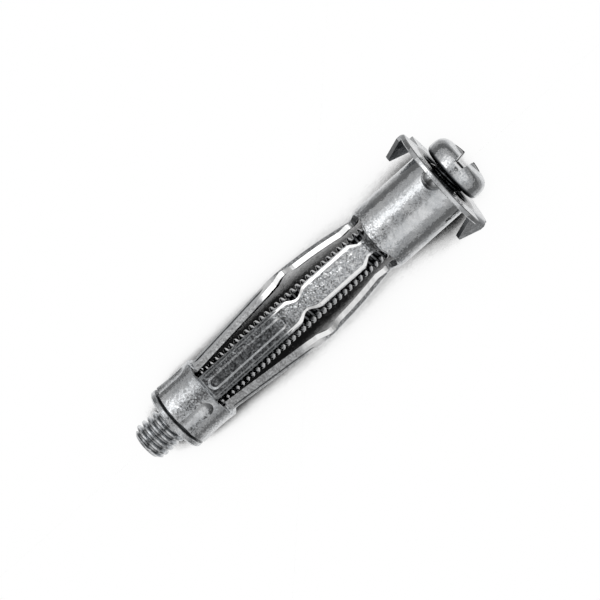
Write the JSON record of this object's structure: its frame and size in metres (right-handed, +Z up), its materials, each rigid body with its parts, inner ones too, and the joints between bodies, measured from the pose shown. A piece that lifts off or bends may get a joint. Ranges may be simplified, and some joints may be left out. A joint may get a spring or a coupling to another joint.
{
  "type": "hollow wall anchor",
  "caption": "Hollow wall anchor: slotted steel sleeve with folding legs, flange with bent claws, flanged nut and pan-head machine screw, unset.",
  "frame": {"origin": "under the middle of the anchor's outline, on the surface it lies on", "axes": "+Z up; the anchor lies along X, +X towards the screw's tip, which goes into the wall; the flange's end is the high one"},
  "size_m": [0.0628, 0.0176, 0.0178],
  "materials": {
    "sleeve_zinc": "bright zinc plated sheet steel",
    "nut_zinc": "bright zinc plated turned steel",
    "screw_zinc": "bright zinc plated steel"
  },
  "bodies": {
    "anchor": {"sleeve": "sleeve_zinc", "nut": "nut_zinc"},
    "screw": {"screw": "screw_zinc"}
  },
  "joints": [
    {"name": "screw_turn", "type": "hinge", "parent": "anchor", "child": "screw", "pos_m": [0.02572, 0, 0.00511], "axis": [0.9974, 0, -0.0722], "continuous": true}
  ]
}
